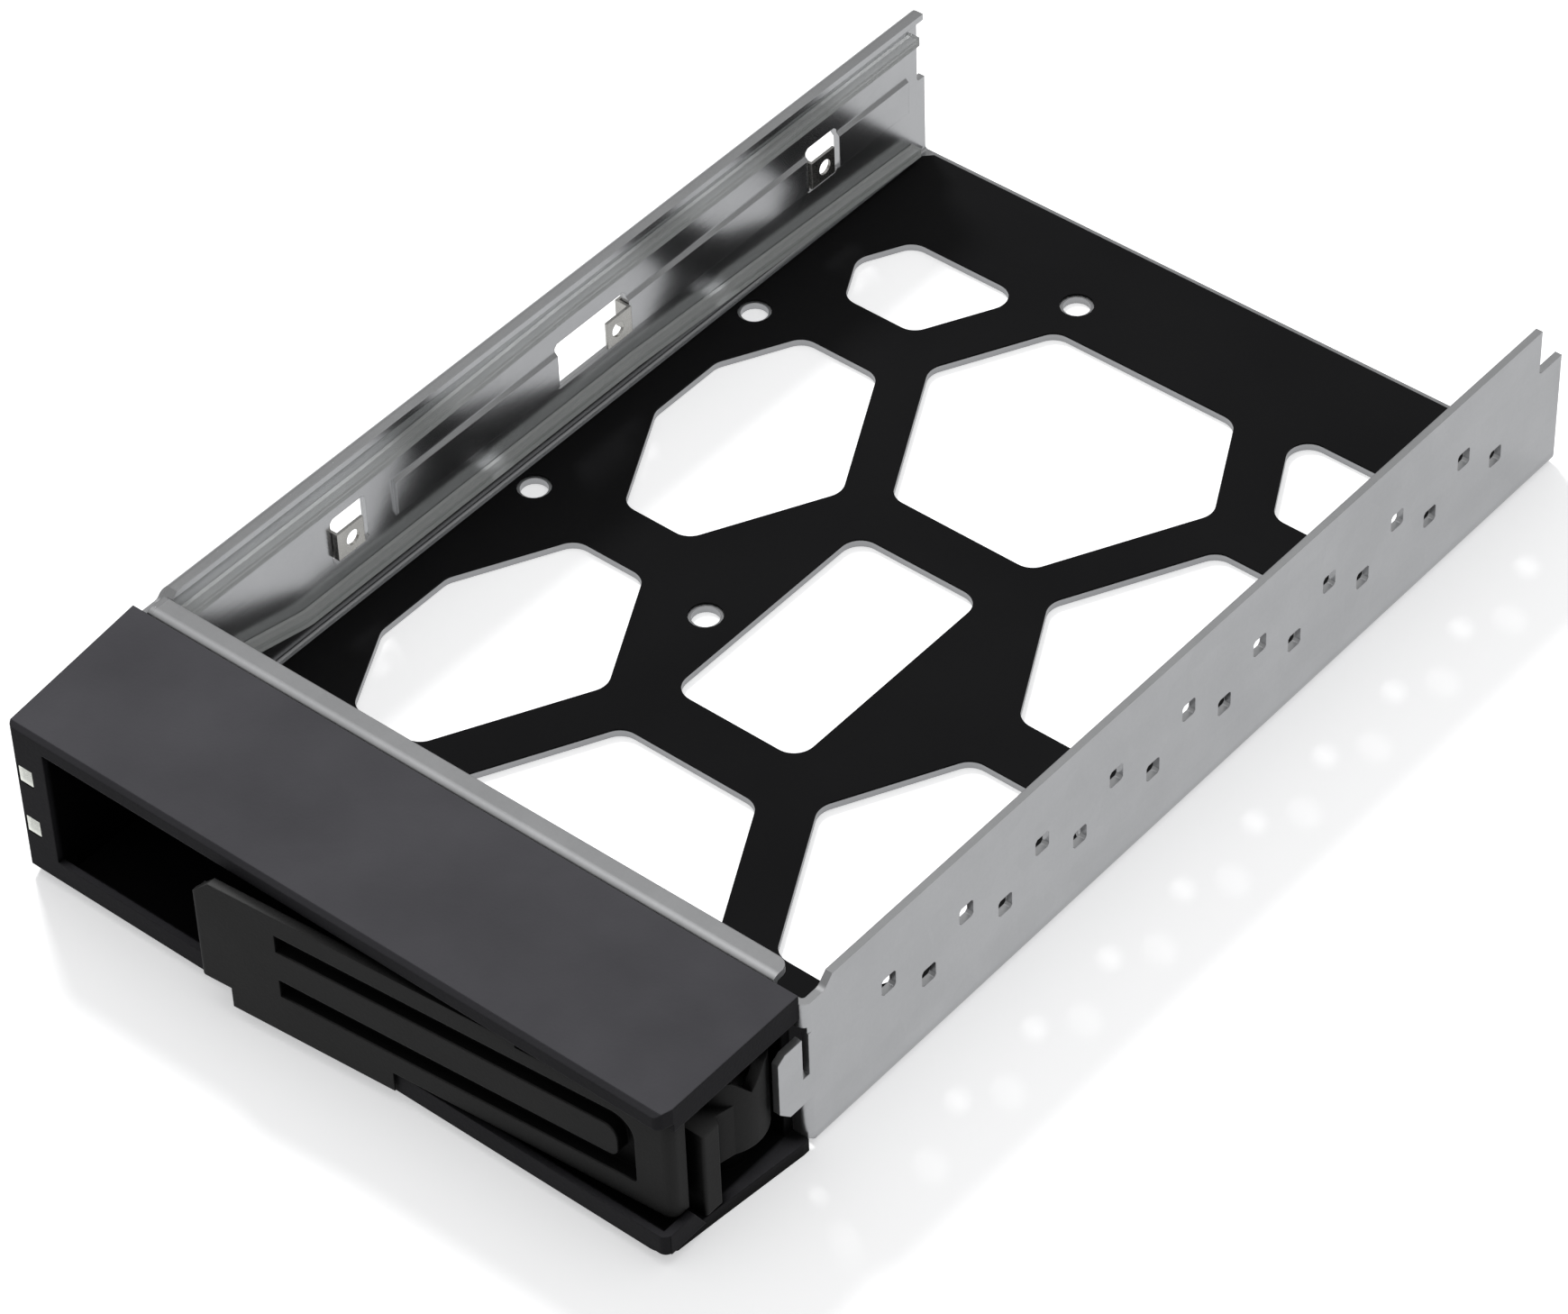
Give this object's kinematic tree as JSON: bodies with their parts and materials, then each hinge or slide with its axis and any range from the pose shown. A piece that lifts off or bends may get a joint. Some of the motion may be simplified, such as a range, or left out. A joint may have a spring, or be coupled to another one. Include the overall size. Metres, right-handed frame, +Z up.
{
  "type": "hot swap drive caddy",
  "caption": "Folded sheet-metal drive tray with a honeycomb floor, a black front housing and a hinged release lever, which slides a hard drive into a server's bay",
  "frame": {"origin": "centre of the drive's four bottom screw holes, on the underside of the tray's floor", "axes": "+X to the right seen from the bezel, +Y from the bezel to the drive's connector end, +Z up"},
  "size_m": [0.1062, 0.1776, 0.0256],
  "materials": {
    "galvanised_sheet": "matte galvanised outside, glossy inside the left wall",
    "black_film": "matte",
    "bezel_plastic": "fine grain",
    "bracket_plastic": "satin",
    "lever_plastic": "fine grain",
    "clear_plastic": "clear polycarbonate",
    "spring_steel": "satin",
    "pin_steel": "ground",
    "screw_steel": "nickel plated"
  },
  "bodies": {
    "tray": {"tray_pan": "galvanised_sheet", "insulating_film": "black_film", "bezel_shell": "bezel_plastic", "pivot_bracket": "bracket_plastic", "light_guide_upper": "clear_plastic", "light_guide_lower": "clear_plastic", "guide_retainer": "bracket_plastic", "guide_spring_front": "spring_steel", "guide_spring_middle": "spring_steel", "guide_spring_rear": "spring_steel", "pivot_pin": "pin_steel", "pin_retaining_ring": "spring_steel", "lever_spring": "spring_steel", "bezel_screw_left": "screw_steel", "bezel_screw_centre": "screw_steel", "bezel_screw_right": "screw_steel", "bracket_screw_lower": "screw_steel", "bracket_screw_upper": "screw_steel"},
    "lever": {"release_lever": "lever_plastic", "pivot_washer_lower": "pin_steel", "pivot_washer_upper": "pin_steel"}
  },
  "joints": [
    {"name": "lever_hinge", "type": "hinge", "parent": "tray", "child": "lever", "pos_m": [0.0458, -0.0952, 0.011], "axis": [0, 0, 1], "range_deg": [0, 55], "stiffness_Nm_per_rad": 0.03, "springref_deg": -20.05}
  ]
}
